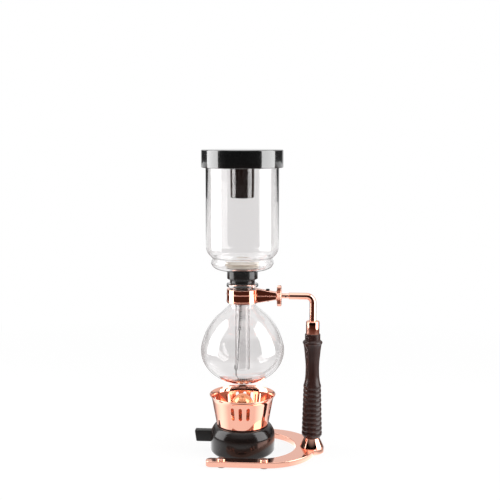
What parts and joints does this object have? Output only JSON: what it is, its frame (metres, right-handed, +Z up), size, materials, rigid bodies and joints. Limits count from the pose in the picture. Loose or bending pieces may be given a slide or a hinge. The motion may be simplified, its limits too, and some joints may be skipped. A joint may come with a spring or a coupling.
{
  "type": "siphon coffee maker",
  "caption": "Tabletop vacuum siphon brewer: glass chamber with stem over a glass bulb, clamped to a copper stand with a wooden post, above a spirit burner with a windshield.",
  "frame": {"origin": "on the table, under the middle of the whole part's box", "axes": "+Z up, +X from the bulb's axis towards the post, +Y towards the back"},
  "size_m": [0.1867, 0.146, 0.4351],
  "materials": {
    "copper_plate": "rose copper plate, mirror polished",
    "dark_wood": "dark stained and lacquered",
    "black_plastic": "glossy moulded",
    "burner_enamel": "glossy black enamel",
    "burner_tab_plastic": "satin moulded",
    "black_rubber": "satin",
    "clear_glass": "clear borosilicate",
    "steel": "bright drawn",
    "dark_steel": "blackened",
    "filter_flannel": "brushed cotton",
    "wick_cotton": "braided cotton",
    "brass": "turned",
    "tank_metal": "spun"
  },
  "bodies": {
    "stand": {"base_fork": "copper_plate", "rubber_feet": "black_rubber", "foot_screws": "copper_plate", "base_washer": "steel", "base_nut": "steel", "tie_rod": "steel", "foot_cone": "copper_plate", "wood_handle": "dark_wood", "ferrule": "copper_plate", "support_rod": "copper_plate", "neck_band": "copper_plate", "clamp_stud": "copper_plate", "clamp_pin": "dark_steel", "stop_pin": "dark_steel", "bulb_neck": "clear_glass", "bulb_shoulder": "clear_glass", "bulb_bowl": "clear_glass"},
    "collar": {"clamp_collar": "copper_plate"},
    "thumb_nut": {"thumb_nut": "copper_plate"},
    "upper": {"chamber_wall": "clear_glass", "chamber_well": "clear_glass", "chamber_stem": "clear_glass", "stopper": "black_rubber", "filter_disc": "steel", "filter_cloth": "filter_flannel", "filter_bolt": "steel", "filter_spring": "steel", "filter_hook": "steel", "bead_chain": "steel"},
    "lid": {"lid": "black_plastic"},
    "burner": {"burner_casing": "burner_enamel", "burner_floor": "burner_enamel", "reservoir": "tank_metal", "wick_holder": "brass", "wick": "wick_cotton", "burner_handle": "burner_tab_plastic", "handle_screw": "steel"},
    "windshield": {"windshield": "copper_plate"},
    "snuffer": {"snuffer_cap": "copper_plate"}
  },
  "joints": [
    {"name": "upper_lift", "type": "slide", "parent": "stand", "child": "upper", "axis": [0, 0, 1], "range_m": [0, 0.15]},
    {"name": "lid_lift", "type": "slide", "parent": "upper", "child": "lid", "axis": [0, 0, 1], "range_m": [0, 0.08]},
    {"name": "burner_pull", "type": "slide", "parent": "stand", "child": "burner", "axis": [-1, 0, 0], "range_m": [0, 0.13]},
    {"name": "windshield_lift", "type": "slide", "parent": "burner", "child": "windshield", "axis": [0, 0, 1], "range_m": [0, 0.03]},
    {"name": "snuffer_lift", "type": "slide", "parent": "burner", "child": "snuffer", "axis": [0, 0, 1], "range_m": [0, 0.013]},
    {"name": "collar_slide", "type": "slide", "parent": "stand", "child": "collar", "axis": [1, 0, 0], "range_m": [0, 0.0044]},
    {"name": "thumb_nut_turn", "type": "hinge", "parent": "collar", "child": "thumb_nut", "pos_m": [0.028, 0, 0.229], "axis": [1, 0, 0], "range_deg": [0, 1260]}
  ],
  "couplings": [
    {"joint": "collar_slide", "follows": "thumb_nut_turn", "m_per_rad": 0.00019894}
  ]
}
